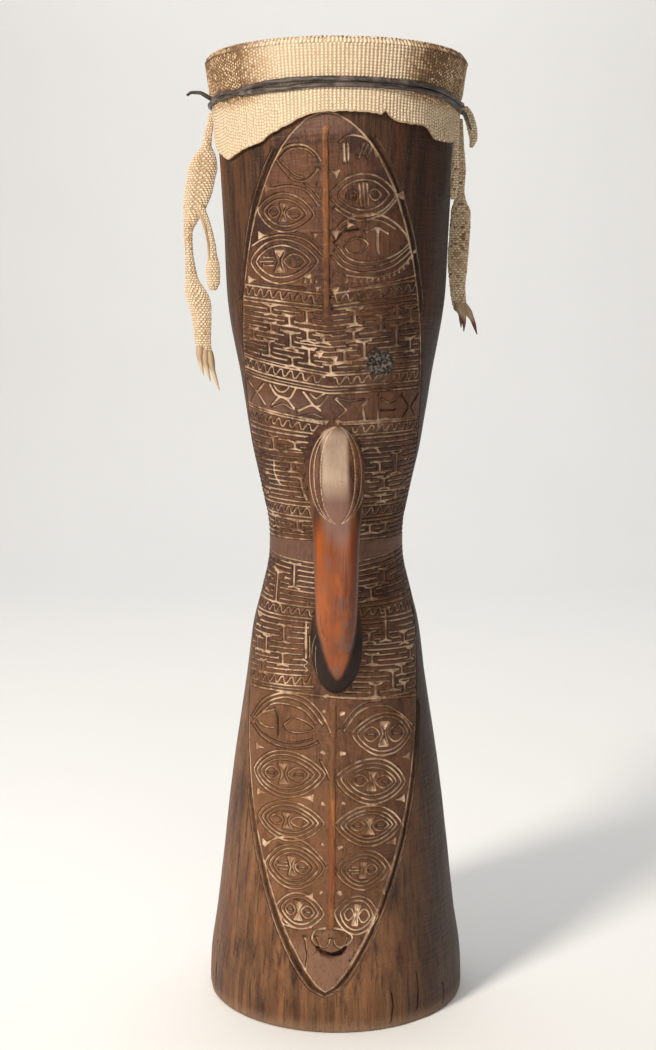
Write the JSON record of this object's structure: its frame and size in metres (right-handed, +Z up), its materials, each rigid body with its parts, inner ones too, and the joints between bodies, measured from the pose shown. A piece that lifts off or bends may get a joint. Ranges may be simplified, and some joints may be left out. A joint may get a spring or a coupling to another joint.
{
  "type": "kundu drum",
  "caption": "Hourglass hand drum carved from one log, open at the base, with a carved leaf panel, a loop handle at the waist and a lizard hide head bound on with vine.",
  "frame": {"origin": "centre of the base's footprint, on the surface the drum stands on", "axes": "+Z up along the drum's axis from the open base to the hide head, -Y towards the carved front with the handle, +X to the right seen from the front"},
  "size_m": [0.1881, 0.1678, 0.6],
  "materials": {
    "carved_wood": "dark handled patina, carved grooves filled with pale lime",
    "lizard_hide": "dry scaly cream hide",
    "vine": "dark dried vine, slightly glossy"
  },
  "bodies": {
    "root": {"drum_body": "carved_wood", "lizard_skin": "lizard_hide", "binding_vine": "vine"}
  },
  "joints": []
}
